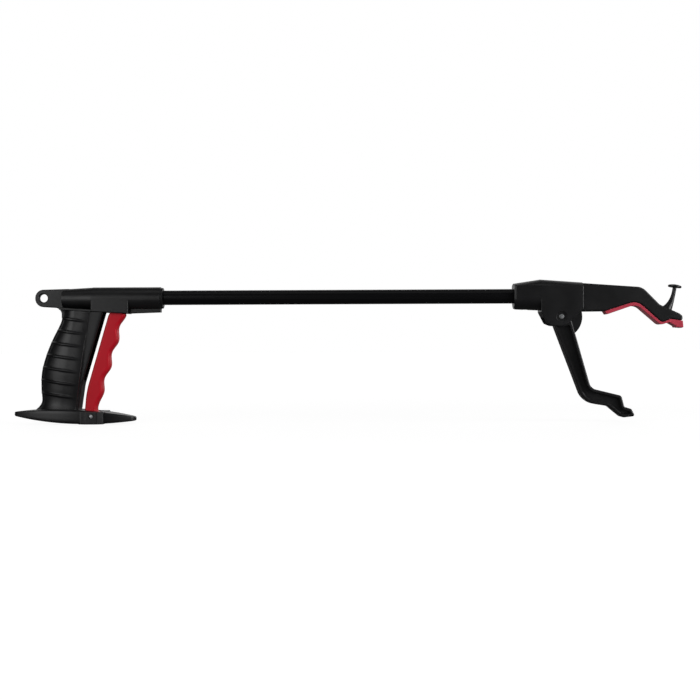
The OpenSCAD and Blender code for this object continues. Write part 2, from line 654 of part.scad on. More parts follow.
// Peg hook: its stem bends up from the jaw's tip
peg_from = pivot + [104.5, 5.5];
peg_bend = pivot + [111.4, 13.5];
peg_to = pivot + [113.6, 29];
function peg_at(u) = peg_from * pow(1 - u, 2) + peg_bend * 2 * u * (1 - u) + peg_to * u * u;
module peg_hook() {
    skin([for (u = [0 : 0.125 : 1])
        let (
            p = peg_at(u),
            way = unit(peg_at(min(1, u + 0.02)) - peg_at(max(0, u - 0.02))),
            r = 1.9 + 5.5 * pow(max(0, 0.85 - u), 2)
        )
        [for (i = [0 : 11])
            let (a = 30 * i)
                [p[0] - left(way)[0] * r * cos(a), -r * sin(a), p[1] - left(way)[1] * r * cos(a)]]]);
    cap = peg_d / 2;
    translate([peg_to[0], 0, peg_to[1]]) rotate([0, 8, 0]) rotate_extrude()
        polygon([[0, -0.6], [cap - 0.8, -0.6], [cap, 0.1], [cap, 0.9], [cap - 0.8, 1.6], [2, 2.4],
                 [0, 2.5]]);
}

// Side outline of the box and ears, from the jaw pin
ear_corners = [[-20, roof_z + pivot_drop + 3], [-20, 4.5], [-14.3, -6.6], [-8.9, -8.9], [0, -ear_r],
               [9, -4.3], [19.3, 5.1], [21.7, 7.5], [21.7, roof_z + pivot_drop + 3]];
gap_corners = [[-17.3, pivot_drop + 6.6], [-17.3, -13], [30, -13], [30, 4.6], [19.2, 4.6],
               [19.2, pivot_drop + 6.6]];

module jaw_head() color("#19191b") difference() {
    union() {
        head_socket();
        // Box with its arched roof, and the two ears
        intersection() {
            translate([pivot[0], 0, pivot[1]]) plate(-ear_half, ear_half) {
                polygon(ear_corners);
                circle(r = ear_r);
            }
            union() {
                box_roof();
                box([head_x, pivot[0] + 60], [-20, 20], [-40, 0]);
            }
        }
        pillow(upper_path, jaw_w, jaw_edge);
        peg_hook();
    }
    // Room for the crank, the sector and the hub
    translate([pivot[0], 0, pivot[1]]) {
        plate(-ear_gap, ear_gap) polygon(gap_corners);
        plate(-ear_gap, ear_gap) circle(r = hub_r + 1.6);
        plate(-sector_t / 2 - 0.6, sector_t / 2 + 0.6) intersection() {
            circle(r = sector_r + 0.6);
            translate([0, -15]) square([30, 40]);
        }
    }
    // Seat of the tube, way of the rod, and the screw from below
    bar_x(head_x - 1, tube_x1, 0, tube_od / 2 + seat_fit, tube_od / 2 + seat_fit);
    bar_x(tube_x1 - 1, pivot[0] - 16, 0, tube_od / 2 - tube_wall, tube_od / 2 - tube_wall);
    translate([head_x + 12, 0, -20]) cylinder(h = 20, r = screw_d / 2 + hold_fit);
    translate([head_x + 12, 0, -20]) cylinder(h = 8.6, r = screw_head_d / 2 + 0.2);
    // Bore of the jaw pin
    bar_y(pivot, jaw_pin_d / 2 + hold_fit, -40, 40);
    bar_y(pivot, counterbore_d / 2, -40, 1.1 - ear_half);
    bar_y(pivot, counterbore_d / 2, ear_half - 1.1, 40);
}

module head_screw() color("#9a9c9e") translate([head_x + 12, 0, 0]) {
    translate([0, 0, -11.5]) cylinder(h = 6.2, r = screw_d / 2);
    difference() {
        translate([0, 0, -13]) cylinder(h = 1.6, r = screw_head_d / 2);
        translate([-0.5, -1.7, -13.5]) cube([1, 3.4, 1.3]);
        translate([-1.7, -0.5, -13.5]) cube([3.4, 1, 1.3]);
    }
}

// Liner: a strip under the upper jaw that ends in a toothed block
liner_gap = 0.03;
liner_over = [for (k = [5 : -1 : 1]) [jaw_under[k][0], jaw_under[k][1] - liner_gap,
    k == 5 || k == 1 ? 0 : jaw_under[k][2]]];
liner_under = [[45.2, 4.6 - liner_t * 0.9, 0.8], [74.1, 15.2 - liner_t * 1.17, 10],
    [97.7, -6 - liner_t * 0.9, 4.5], [106.2, -2.9 - liner_t, 1.5], [112.6, -9.4, 0.6]];
liner_teeth = [for (k = [0 : teeth - 1], h = [0, 1])
    [113.4 + (k + h * 0.55) * 6.6 / (teeth - 0.45), -10.2 - 0.2 * (k + h) - (h == 0 ? tooth_depth : 0), 0]];
module jaw_liner() color("#c21a33")
    pillow(moved(concat(liner_under, liner_teeth, liner_over), pivot), jaw_w, 0.6, 6, 2);

module jaw_pin() color("#c9cbcc") {
    bar_y(pivot, jaw_pin_d / 2, 0.5 - ear_half, ear_half - 0.2);
}

module jaw_pin_clip() color("#8f9193") difference() {
    bar_y(pivot, counterbore_d / 2 - 0.5, ear_half - 1.05, ear_half - 0.5);
    bar_y(pivot, jaw_pin_d / 2 + hold_fit, -40, 40);
}

// Lower jaw: corners from the jaw pin, down its rear edge, along its underside and back
lower_path = moved([[-7.3, -6, 0], [22, -84.3, 18], [46.2, -88.2, 5], [59.7, -99.4, 5], [72.5, -98, 0.9],
    [68.8, -90.9, 1.2], [61.8, -88.8, 2], [59.1, -77.9, 3.4], [29.2, -70.5, 8], [8.4, 3, 0]], pivot);

module lower_jaw() color("#1b1b1d") difference() {
    union() {
        difference() {
            pillow(lower_path, jaw_w, jaw_edge);
            for (y = [-jaw_w, jaw_w / 2 - side_recess])
                plate(y, y + jaw_w / 2 + side_recess) intersection() {
                    polygon(rounded(lower_path, rim));
                    translate(pivot - [20, hub_r + 101]) square([120, 100]);
                }
        }
        bar_y(pivot, hub_r, -jaw_w / 2 + 0.15, jaw_w / 2 - 0.15);
        translate([pivot[0], 0, pivot[1]]) {
            // Crank sector, which closes the gap under the head as the jaw turns
            plate(-sector_t / 2, sector_t / 2) intersection() {
                circle(r = sector_r);
                polygon([[0, 0], [40 * cos(-58), 40 * sin(-58)], [40, 0], [40 * cos(46), 40 * sin(46)]]);
            }
            // Lug that the rod's front clevis holds
            plate(-tongue_t / 2, tongue_t / 2) rotate(crank_angle) {
                translate([0, -lug_r]) square([slot_out, 2 * lug_r]);
                translate([slot_out, 0]) circle(r = lug_r);
            }
        }
    }
    bar_y(pivot, jaw_pin_d / 2 + run_fit, -40, 40);
    // Slot that lets the rod's pin move a little towards the jaw pin
    translate([pivot[0], 0, pivot[1]]) plate(-20, 20) rotate(crank_angle) {
        for (r = [slot_in, slot_out]) translate([r, 0]) circle(r = slot_wide);
        translate([slot_in, -slot_wide]) square([slot_out - slot_in, 2 * slot_wide]);
    }
}

right_handle_shell();
left_handle_shell();
handle_screws();
trigger_pin();
return_spring();
tube();
jaw_head();
head_screw();
jaw_liner();
jaw_pin();
jaw_pin_clip();
trigger();
trigger_bush();
pull_rod();
rear_clevis();
rear_rod_pin();
front_clevis();
front_rod_pin();
rod_guides();
lower_jaw();
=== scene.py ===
# %% [markdown]
# # A reacher grabber
# The object is a pick-up tool: a ribbed handle with a red trigger, a thin black tube and a head
# with two jaws. Its measured solids are loaded first. Every piece below is made where those
# solids are, in millimetres, and turned into metres when it is finished.

# %% Load the measured frame
import math
import bmesh
import bpy
from mathutils import Matrix, Vector


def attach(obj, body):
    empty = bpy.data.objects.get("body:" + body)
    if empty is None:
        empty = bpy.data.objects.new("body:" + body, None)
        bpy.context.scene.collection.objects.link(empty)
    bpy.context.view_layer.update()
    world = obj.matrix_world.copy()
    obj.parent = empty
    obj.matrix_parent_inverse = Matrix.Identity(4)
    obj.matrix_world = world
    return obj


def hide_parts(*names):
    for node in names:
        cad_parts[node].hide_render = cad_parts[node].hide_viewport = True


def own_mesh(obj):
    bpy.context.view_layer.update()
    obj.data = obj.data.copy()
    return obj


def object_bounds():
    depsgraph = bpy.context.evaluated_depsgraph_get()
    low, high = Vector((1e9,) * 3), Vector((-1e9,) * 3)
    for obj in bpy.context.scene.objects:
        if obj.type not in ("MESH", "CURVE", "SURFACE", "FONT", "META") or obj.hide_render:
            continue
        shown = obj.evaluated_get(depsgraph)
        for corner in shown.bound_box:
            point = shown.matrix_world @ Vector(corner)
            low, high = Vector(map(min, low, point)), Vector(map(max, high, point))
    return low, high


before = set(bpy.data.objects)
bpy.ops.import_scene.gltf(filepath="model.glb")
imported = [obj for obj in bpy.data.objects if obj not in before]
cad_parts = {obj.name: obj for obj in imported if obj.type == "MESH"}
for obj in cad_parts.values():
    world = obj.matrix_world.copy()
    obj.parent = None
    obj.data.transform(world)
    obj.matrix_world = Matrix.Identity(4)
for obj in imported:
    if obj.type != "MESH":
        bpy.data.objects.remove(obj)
cad_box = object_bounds()

# %% [markdown]
# ## Camera
# The tool is seen straight from its side, from a little more than a metre away. A real camera at
# that distance shows the far edges of the foot and of the jaws slightly smaller, so a perspective
# camera is used and not an orthographic one.

# %% Camera
MM = 0.001
scene = bpy.context.scene
lens = bpy.data.cameras.new("camera")
lens.angle = 2 * math.atan(345.45 / 1250)
lens.clip_start = 0.05
camera = bpy.data.objects.new("camera", lens)
camera.matrix_world = (Matrix.Translation((301.7 * MM, -1250 * MM, -52.3 * MM))
                       @ Matrix.Rotation(math.radians(90), 4, "X")
                       @ Matrix.Rotation(math.radians(-0.25), 4, "Z"))
scene.collection.objects.link(camera)
scene.camera = camera
scene.view_settings.view_transform = "Standard"
print("field of view", round(math.degrees(lens.angle), 2), "degrees")

# %% [markdown]
# ## Colours and nodes
# Colours are written as they look on a screen, in sRGB, and shaders work in linear light, so one
# function turns one into the other. A second one adds a shader node, sets it and links it, because
# every material below is a short chain of such nodes.

# %% Helpers for materials
def linear(code):
    """The linear colour of a screen colour such as #B4182C."""
    parts = [int(code[i:i + 2], 16) / 255 for i in (1, 3, 5)]
    light = [p / 12.92 if p <= 0.04045 else ((p + 0.055) / 1.055) ** 2.4 for p in parts]
    return (*light, 1.0)


def add(tree, kind, links=(), **settings):
    """Add a node. Settings go to its inputs by name or to the node itself; links are (output, input)."""
    node = tree.nodes.new(kind)
    for name, value in settings.items():
        label = name.replace("_", " ")
        if hasattr(node, name):
            setattr(node, name, value)
        else:
            node.inputs[label].default_value = value
    for source, target in links:
        tree.links.new(source, node.inputs[target])
    return node


def ramp(tree, source, stops):
    """A colour ramp on a 0 to 1 value, with (place, colour) stops."""
    node = add(tree, "ShaderNodeValToRGB", [(source, "Fac")])
    while len(node.color_ramp.elements) < len(stops):
        node.color_ramp.elements.new(0.5)
    for element, (place, colour) in zip(node.color_ramp.elements, stops):
        element.position = place
        element.color = colour
    return node.outputs["Color"]


def blank(name):
    """A new material: its tree, its main shader and its object coordinates."""
    material = bpy.data.materials.new(name)
    material.use_nodes = True
    tree = material.node_tree
    shader = tree.nodes["Principled BSDF"]
    place = add(tree, "ShaderNodeTexCoord").outputs["Object"]
    return material, tree, shader, place


def grey(value):
    """A grey of the given strength, for ramps that drive roughness."""
    return (value, value, value, 1.0)


# %% [markdown]
# ## Floor, backdrop and light
# The tool stands on a white sweep in a studio. The floor carries its shadow; the world behind is
# white only for the camera, so that the black plastic reflects a darker room with large lamps in
# it. A key box stands left of the camera, a weaker fill on its right, one box at the far right end
# and a faint one above: black plastic shows its form mostly by what it mirrors.

# %% Floor
stand_z = cad_box[0][2]
bm = bmesh.new()
bmesh.ops.create_grid(bm, x_segments=2, y_segments=2, size=30)
floor_mesh = bpy.data.meshes.new("floor")
bm.to_mesh(floor_mesh)
bm.free()
floor = bpy.data.objects.new("floor", floor_mesh)
floor.location.z = stand_z - 0.0002
scene.collection.objects.link(floor)
paper, tree, shader, place = blank("white_paper_sweep")
shader.inputs["Base Color"].default_value = linear("#7A7A7A")
shader.inputs["Roughness"].default_value = 0.9
shader.inputs["Specular IOR Level"].default_value = 0.1
shader.inputs["Emission Color"].default_value = linear("#FFFFFF")
seen = add(tree, "ShaderNodeLightPath").outputs["Is Camera Ray"]
near = add(tree, "ShaderNodeMapping", [(place, "Vector")], Location=(-0.3, 0, 0), Scale=(0.6, 0.6, 1))
far = add(tree, "ShaderNodeTexGradient", [(near.outputs[0], "Vector")], gradient_type="SPHERICAL")
lift = ramp(tree, far.outputs["Fac"], [(0.0, grey(1.0)), (0.85, grey(0.91))])
glow = add(tree, "ShaderNodeMath", [(seen, 0), (lift, 1)], operation="MULTIPLY")
tree.links.new(glow.outputs[0], shader.inputs["Emission Strength"])
floor_mesh.materials.append(paper)
print("floor at", round(stand_z / MM, 2), "mm")

# %% World and lamps
world = bpy.data.worlds.new("studio")
scene.world = world
world.use_nodes = True
tree = world.node_tree
tree.nodes.clear()
seen = add(tree, "ShaderNodeLightPath").outputs["Is Camera Ray"]
look = add(tree, "ShaderNodeTexCoord").outputs["Generated"]
turned = add(tree, "ShaderNodeMapping", [(look, "Vector")], Rotation=(0, 0, math.radians(-90)))
depth = add(tree, "ShaderNodeTexGradient", [(turned.outputs[0], "Vector")], gradient_type="LINEAR")
walls = ramp(tree, depth.outputs["Fac"], [(0.45, grey(0.02)), (0.9, grey(0.8))])
room = add(tree, "ShaderNodeBackground", [(walls, "Color")], Strength=1.0)
white = add(tree, "ShaderNodeBackground", Color=linear("#FFFFFF"), Strength=1.0)
both = add(tree, "ShaderNodeMixShader",
           [(seen, "Fac"), (room.outputs[0], 1), (white.outputs[0], 2)])
add(tree, "ShaderNodeOutputWorld", [(both.outputs[0], "Surface")])


def lamp(name, at, aim, size, power):
    """A rectangular soft box at one place, aimed at another."""
    data = bpy.data.lights.new(name, "AREA")
    data.shape = "RECTANGLE"
    data.size, data.size_y = size
    data.energy = power
    box = bpy.data.objects.new(name, data)
    box.location = at
    box.rotation_euler = (Vector(aim) - Vector(at)).to_track_quat("-Z", "Y").to_euler()
    scene.collection.objects.link(box)
    return box


middle = (0.3, 0, -0.05)
lamp("top_box", (0.3, -0.35, 1.3), middle, (1.6, 0.6), 1.5)
lamp("key_box", (-0.75, -1.2, 0.2), (0.2, 0, -0.05), (1.1, 1.0), 8)
lamp("right_box", (1.9, -0.7, 0.3), middle, (0.8, 0.8), 15)
lamp("fill_box", (1.45, -1.2, 0.15), (0.4, 0, -0.05), (0.8, 0.8), 1.2)

# %% [markdown]
# ## Black moulded plastic
# Handle, head and lower jaw are injection moulded in black ABS. The steel mould is spark eroded,
# which leaves a fine satin grain of about 0.2 mm. That is finer than the picture can show, so it is
# drawn at 0.5 mm. Broad clouds change the roughness a little, as handled plastic does.

# %% Material: moulded black ABS
black_abs, tree, shader, place = blank("moulded_black_abs")
clouds = add(tree, "ShaderNodeTexNoise", [(place, "Vector")], Scale=45.0, Detail=3.0)
grain = add(tree, "ShaderNodeTexNoise", [(place, "Vector")], Scale=2000.0, Detail=1.0)
tree.links.new(ramp(tree, clouds.outputs["Fac"], [(0.3, linear("#0E0E10")), (0.7, linear("#141416"))]),
               shader.inputs["Base Color"])
tree.links.new(ramp(tree, clouds.outputs["Fac"], [(0.3, grey(0.36)), (0.7, grey(0.44))]),
               shader.inputs["Roughness"])
bump = add(tree, "ShaderNodeBump", [(grain.outputs["Fac"], "Height")], Strength=0.12, Distance=0.0002)
tree.links.new(bump.outputs["Normal"], shader.inputs["Normal"])
shader.inputs["IOR"].default_value = 1.54

# %% [markdown]
# ## Tube paint
# The tube is thin aluminium, anodised black. Drawing the tube through a die leaves faint lines along
# it, here noise that is stretched two hundred times along the tube. The film mirrors less than
# the plastic beside it, so the tube looks darker.

# %% Material: black anodised aluminium
black_tube, tree, shader, place = blank("black_anodised_aluminium")
stretch = add(tree, "ShaderNodeMapping", [(place, "Vector")], Scale=(4.0, 900.0, 900.0))
lines = add(tree, "ShaderNodeTexNoise", [(stretch.outputs[0], "Vector")], Scale=1.0, Detail=2.0)
tree.links.new(ramp(tree, lines.outputs["Fac"], [(0.3, linear("#09090B")), (0.7, linear("#0E0E11"))]),
               shader.inputs["Base Color"])
tree.links.new(ramp(tree, lines.outputs["Fac"], [(0.3, grey(0.32)), (0.7, grey(0.4))]),
               shader.inputs["Roughness"])
shader.inputs["IOR"].default_value = 1.6
shader.inputs["Specular IOR Level"].default_value = 0.2

# %% [markdown]
# ## Red plastic and red rubber
# The trigger is polypropylene coloured in the mass. The liner of the jaw is a softer thermoplastic
# rubber with a duller skin, which also looks paler where light grazes it: a little sheen does that.

# %% Material: red polypropylene
red_pp, tree, shader, place = blank("red_polypropylene")
clouds = add(tree, "ShaderNodeTexNoise", [(place, "Vector")], Scale=60.0, Detail=3.0)
grain = add(tree, "ShaderNodeTexNoise", [(place, "Vector")], Scale=1600.0, Detail=1.0)
tree.links.new(ramp(tree, clouds.outputs["Fac"], [(0.3, linear("#E01329")), (0.7, linear("#E8192F"))]),
               shader.inputs["Base Color"])
tree.links.new(ramp(tree, clouds.outputs["Fac"], [(0.3, grey(0.44)), (0.7, grey(0.5))]),
               shader.inputs["Roughness"])
bump = add(tree, "ShaderNodeBump", [(grain.outputs["Fac"], "Height")], Strength=0.1, Distance=0.0002)
tree.links.new(bump.outputs["Normal"], shader.inputs["Normal"])
shader.inputs["IOR"].default_value = 1.49
shader.inputs["Specular IOR Level"].default_value = 0.3

# %% Material: red thermoplastic rubber
red_tpr, tree, shader, place = blank("red_thermoplastic_rubber")
clouds = add(tree, "ShaderNodeTexNoise", [(place, "Vector")], Scale=70.0, Detail=3.0)
grain = add(tree, "ShaderNodeTexNoise", [(place, "Vector")], Scale=1400.0, Detail=2.0)
tree.links.new(ramp(tree, clouds.outputs["Fac"], [(0.3, linear("#DC3C54")), (0.7, linear("#E4445C"))]),
               shader.inputs["Base Color"])
tree.links.new(ramp(tree, clouds.outputs["Fac"], [(0.3, grey(0.52)), (0.7, grey(0.64))]),
               shader.inputs["Roughness"])
bump = add(tree, "ShaderNodeBump", [(grain.outputs["Fac"], "Height")], Strength=0.2, Distance=0.0003)
tree.links.new(bump.outputs["Normal"], shader.inputs["Normal"])
shader.inputs["IOR"].default_value = 1.5
shader.inputs["Sheen Weight"].default_value = 0.25
shader.inputs["Sheen Roughness"].default_value = 0.4

# %% [markdown]
# ## Metals and inner plastics
# Pins are ground steel, screws are zinc plated, the spring is drawn wire and the bush is sintered
# bronze with open pores. The rod's ends and guides are natural acetal. Each gets the mark of how it
# is made: fine lines for ground or drawn metal, a cloudy film for zinc, pores for bronze.

# %% Materials: steel, zinc, wire, bronze and acetal
def metal(name, dark, light, rough, scale, lines=(1, 1, 1)):
    """A metal whose colour and roughness follow one noise pattern, stretched to make lines."""
    material, tree, shader, place = blank(name)
    stretch = add(tree, "ShaderNodeMapping", [(place, "Vector")], Scale=lines)
    noise = add(tree, "ShaderNodeTexNoise", [(stretch.outputs[0], "Vector")], Scale=scale, Detail=3.0)
    tree.links.new(ramp(tree, noise.outputs["Fac"], [(0.3, linear(dark)), (0.7, linear(light))]),
                   shader.inputs["Base Color"])
    tree.links.new(ramp(tree, noise.outputs["Fac"], [(0.3, grey(rough + 0.1)), (0.7, grey(rough))]),
                   shader.inputs["Roughness"])
    shader.inputs["Metallic"].default_value = 1.0
    return material


ground_steel = metal("ground_steel", "#B9BBBD", "#D2D4D6", 0.34, 700.0, (1, 0.05, 1))
zinc_steel = metal("zinc_plated_steel", "#9FA2A3", "#B9BAB4", 0.32, 500.0)
spring_wire = metal("drawn_spring_wire", "#85878A", "#A7A9AB", 0.28, 600.0, (0.2, 1, 1))
bronze = metal("sintered_bronze", "#86683A", "#B99A62", 0.38, 1800.0)
acetal, tree, shader, place = blank("natural_acetal")
clouds = add(tree, "ShaderNodeTexNoise", [(place, "Vector")], Scale=120.0, Detail=3.0)
tree.links.new(ramp(tree, clouds.outputs["Fac"], [(0.3, linear("#D3D2CB")), (0.7, linear("#DEDDD8"))]),
               shader.inputs["Base Color"])
tree.links.new(ramp(tree, clouds.outputs["Fac"], [(0.3, grey(0.38)), (0.7, grey(0.5))]),
               shader.inputs["Roughness"])
shader.inputs["IOR"].default_value = 1.48
print("materials:", len(bpy.data.materials))

# %% [markdown]
# ## Ways to make a solid
# Moulded parts like these are mostly flat outlines given a thickness, with rounded edges. So the
# main helper takes a few corners, rounds each of them with a vertex bevel, extrudes the face across
# the tool and bevels the two rims. Round parts are spun from a profile, and free forms are a flat
# grid whose points are moved to a new place.

# %% Helpers for shapes
def flat_face(corners, segments=10):
    """A face in XZ through (x, z, radius) corners, given anticlockwise, each corner rounded."""
    bm = bmesh.new()
    verts = [bm.verts.new((x, 0, z)) for x, z, r in corners]
    bm.faces.new(verts)
    count = len(corners)
    for i, vert in enumerate(verts):
        here = Vector(corners[i][:2])
        before = here - Vector(corners[i - 1][:2])
        after = Vector(corners[(i + 1) % count][:2]) - here
        if corners[i][2] > 0:
            reach = corners[i][2] * math.tan(before.angle(after) / 2)
            bmesh.ops.bevel(bm, geom=[vert], offset=reach, offset_type="OFFSET", segments=segments,
                            profile=0.5, affect="VERTICES", material=-1, clamp_overlap=False)
    return bm


def thicken(bm, y0, y1, edge=0.0, segments=4):
    """Extrude a flat face from y0 to y1 and round the two rims."""
    bmesh.ops.translate(bm, verts=bm.verts, vec=(0, y0, 0))
    grown = bmesh.ops.extrude_face_region(bm, geom=list(bm.faces))["geom"]
    moved = [v for v in grown if isinstance(v, bmesh.types.BMVert)]
    bmesh.ops.translate(bm, verts=moved, vec=(0, y1 - y0, 0))
    bmesh.ops.recalc_face_normals(bm, faces=bm.faces)
    if bm.calc_volume(signed=True) < 0:
        bmesh.ops.reverse_faces(bm, faces=bm.faces)
    if edge > 0:
        rims = [e for e in bm.edges if abs(e.verts[0].co.y - e.verts[1].co.y) < 1e-5]
        bmesh.ops.bevel(bm, geom=rims, offset=edge, offset_type="OFFSET", segments=segments,
                        profile=0.5, affect="EDGES", material=-1, clamp_overlap=True)
    return bm


def plate(corners, y0, y1, edge=0.0, segments=4):
    """A flat outline with a thickness and round edges."""
    return thicken(flat_face(corners), y0, y1, edge, segments)


def block(x, y, z, edge=0.0):
    """A box between two places on each axis, all but its top edges beveled."""
    bm = bmesh.new()
    bmesh.ops.create_cube(bm, size=1)
    bmesh.ops.scale(bm, vec=(x[1] - x[0], y[1] - y[0], z[1] - z[0]), verts=bm.verts)
    bmesh.ops.translate(bm, vec=(sum(x) / 2, sum(y) / 2, sum(z) / 2), verts=bm.verts)
    if edge > 0:
        below = [e for e in bm.edges if min(v.co.z for v in e.verts) < z[1] - 1e-5]
        bmesh.ops.bevel(bm, geom=below, offset=edge, offset_type="OFFSET", segments=3,
                        profile=0.5, affect="EDGES", material=-1, clamp_overlap=True)
    return bm


def sloped(bm, x, below, rise):
    """Raise all points below a height, from nothing at x[1] to rise at x[0]."""
    for vert in bm.verts:
        if vert.co.z < below:
            vert.co.z += rise * (x[1] - vert.co.x) / (x[1] - x[0])
    return bm


def spun(profile, at, way, steps=72):
    """Spin a profile of (along, radius) points, from axis to axis, about the line at, way."""
    bm = bmesh.new()
    verts = [bm.verts.new((r, 0, a)) for a, r in profile]
    edges = [bm.edges.new(pair) for pair in zip(verts, verts[1:])]
    bmesh.ops.spin(bm, geom=verts + edges, axis=(0, 0, 1), cent=(0, 0, 0), angle=2 * math.pi,
                   steps=steps, use_merge=True)
    bmesh.ops.remove_doubles(bm, verts=bm.verts, dist=1e-4)
    turn = Vector((0, 0, 1)).rotation_difference(Vector(way)).to_matrix()
    bmesh.ops.rotate(bm, verts=bm.verts, cent=(0, 0, 0), matrix=turn)
    bmesh.ops.translate(bm, verts=bm.verts, vec=at)
    bmesh.ops.recalc_face_normals(bm, faces=bm.faces)
    return bm


def bar(at, r, y0, y1, steps=64):
    """A plain round bar across the tool."""
    return spun([(0, 0), (0, r), (y1 - y0, r), (y1 - y0, 0)], (at[0], y0, at[1]), (0, 1, 0), steps)


def bar_x(x0, x1, z, r0, r1, steps=96):
    """A round bar or cone along the tube."""
    return spun([(0, 0), (0, r0), (x1 - x0, r1), (x1 - x0, 0)], (x0, 0, z), (1, 0, 0), steps)


def bent_grid(columns, rows, place):
    """A flat grid whose points go to place(u, v), both from 0 to 1; open ends are filled."""
    bm = bmesh.new()
    bmesh.ops.create_grid(bm, x_segments=columns, y_segments=rows, size=0.5)
    for vert in bm.verts:
        vert.co = place(vert.co.x + 0.5, vert.co.y + 0.5)
    bmesh.ops.remove_doubles(bm, verts=bm.verts, dist=1e-4)
    bmesh.ops.holes_fill(bm, edges=[e for e in bm.edges if e.is_boundary], sides=0)
    bmesh.ops.recalc_face_normals(bm, faces=bm.faces)
    return bm


def leaned(bm, at, lean):
    """Turn a solid about the Y axis and move it, as the grip, the foot and the trigger lean."""
    turn = Matrix.Rotation(math.radians(lean), 3, "Y")
    bmesh.ops.rotate(bm, verts=bm.verts, cent=(0, 0, 0), matrix=turn)
    bmesh.ops.translate(bm, verts=bm.verts, vec=(at[0], 0, at[1]))
    return bm


# %% [markdown]
# ## Joining, cutting and finishing
# A moulding is the sum of simple forms with hollows cut out, and Blender's Boolean modifier does
# both. Edges that should catch light are beveled on the solid itself, loop by loop: a Bevel modifier
# clamps all its edges to the shortest sliver that a Boolean leaves. A finished piece is scaled to
# metres, gets smooth shading that stops at sharp edges, and rides on the body that it belongs to.

# %% Helpers for joining and finishing
def combine(base, how, tools):
    """Join (UNION), cut (DIFFERENCE) or keep the common part (INTERSECT) of solids."""
    group = bpy.data.collections.new("tools")
    scene.collection.children.link(group)
    made = []
    for solid in [base] + tools:
        mesh = bpy.data.meshes.new("solid")
        solid.to_mesh(mesh)
        solid.free()
        made.append(bpy.data.objects.new("solid", mesh))
    scene.collection.objects.link(made[0])
    for tool in made[1:]:
        group.objects.link(tool)
    step = made[0].modifiers.new("combine", "BOOLEAN")
    step.operation = how
    step.solver = "EXACT"
    step.operand_type = "COLLECTION"
    step.collection = group
    bpy.context.view_layer.update()
    result = bmesh.new()
    result.from_object(made[0], bpy.context.evaluated_depsgraph_get())
    for thing in made:
        bpy.data.meshes.remove(thing.data)
    bpy.data.collections.remove(group)
    bmesh.ops.remove_doubles(result, verts=result.verts, dist=1e-4)
    bmesh.ops.dissolve_degenerate(result, edges=result.edges, dist=1e-5)
    open_edges = sum(not edge.is_manifold for edge in result.edges)
    print("  joined", how.lower(), len(result.faces), "faces, open edges", open_edges)
    return result


def rounded(bm, by, chosen):
    """Bevel the sharp edges whose two ends are both in the chosen place."""
    sharp = [e for e in bm.edges if e.is_manifold and e.calc_face_angle(0) > math.radians(38)
             and all(chosen(v.co) for v in e.verts)]
    bmesh.ops.bevel(bm, geom=sharp, offset=by, offset_type="OFFSET", segments=3, profile=0.5,
                    affect="EDGES", material=-1, clamp_overlap=False)
    open_edges = sum(not edge.is_manifold for edge in bm.edges)
    print("  rounded", len(sharp), "edges, open edges", open_edges)
    return bm


def finish(name, bm, body, material, nodes, sharp=32):
    """Turn a solid in millimetres into a shaded piece that stands for its CAD nodes."""
    bmesh.ops.scale(bm, vec=(MM, MM, MM), verts=bm.verts)
    mesh = bpy.data.meshes.new(name)
    bm.to_mesh(mesh)
    bm.free()
    mesh.materials.append(material)
    piece = bpy.data.objects.new(name, mesh)
    scene.collection.objects.link(piece)
    mesh.shade_smooth()
    mesh.set_sharp_from_angle(angle=math.radians(sharp))
    weigh = piece.modifiers.new("normals", "WEIGHTED_NORMAL")
    weigh.keep_sharp = True
    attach(piece, body)
    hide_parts(*nodes)
    print(name, len(mesh.polygons), "faces")
    return piece


# %% [markdown]
# ## Grip
# The grip is a palm part, oval in section and ribbed across, and two flat sides that reach forward
# beside the trigger. A grid is bent round it, ring by ring. Between the thin ridges the surface is
# scooped out near the back and runs out smoothly towards the flat sides.

# %% Grip measures
GRIP_AT, GRIP_LEAN = (15.5, -109.0), 8.0
PALM, SIDE = 17.5, 10.3
BACK = [(-5.4, -24.9), (0, -20.4), (5.5, -18.65), (17, -21), (33, -22.7), (49, -20.9), (66, -16.7),
        (82, -11.3), (88, -10.2), (99, -10.6), (104, -10.8)]
HALF = [(-5.4, 15.8), (5, 13.2), (20, 14.2), (38, 15), (60, 13.8), (80, 12.2), (99, 11.8), (104, 11.8)]
FRONT = [(-5.4, 19.6), (27, 19.8), (30, 20.2), (99, 30.6), (104, 31.4)]
RIDGES = [88.9 - 12.6 * i for i in range(7)]


def ease(t):
    """From 0 to 1 with level ends."""
    t = min(1.0, max(0.0, t))
    return t * t * (3 - 2 * t)


def straight(keys, t):
    """Straight lines through (place, value) pairs."""
    for (a, va), (b, vb) in zip(keys, keys[1:]):
        if t <= b:
            return va + (vb - va) * (t - a) / (b - a)
    return keys[-1][1]


def curve(keys, t):
    """A smooth curve through (place, value) pairs."""
    last = len(keys) - 2
    i = max(k for k in range(last + 1) if keys[k][0] <= t or k == 0)
    (a, va), (b, vb) = keys[i], keys[i + 1]
    h = b - a
    u = min(1.0, max(0.0, (t - a) / h))
    chord = (vb - va) / h
    before = chord if i == 0 else (vb - keys[i - 1][1]) / (b - keys[i - 1][0])
    after = chord if i == last else (keys[i + 2][1] - va) / (keys[i + 2][0] - a)
    return (va * (1 + 2 * u) * (1 - u) ** 2 + vb * u * u * (3 - 2 * u)
            + h * before * u * (1 - u) ** 2 - h * after * u * u * (1 - u))


# %% Grip form
SCOOP = 1.7
ROUND = 44


def scoop(t, angle):
    """Depth of the hollows: none on a ridge or on the spine, and half on the flat sides."""
    along = min(ease((abs(t - ridge) - 0.3) / 1.5) for ridge in RIDGES)
    share = ease(angle / 20) * (1 - 0.5 * ease((angle - 40) / 50))
    return SCOOP * along * share


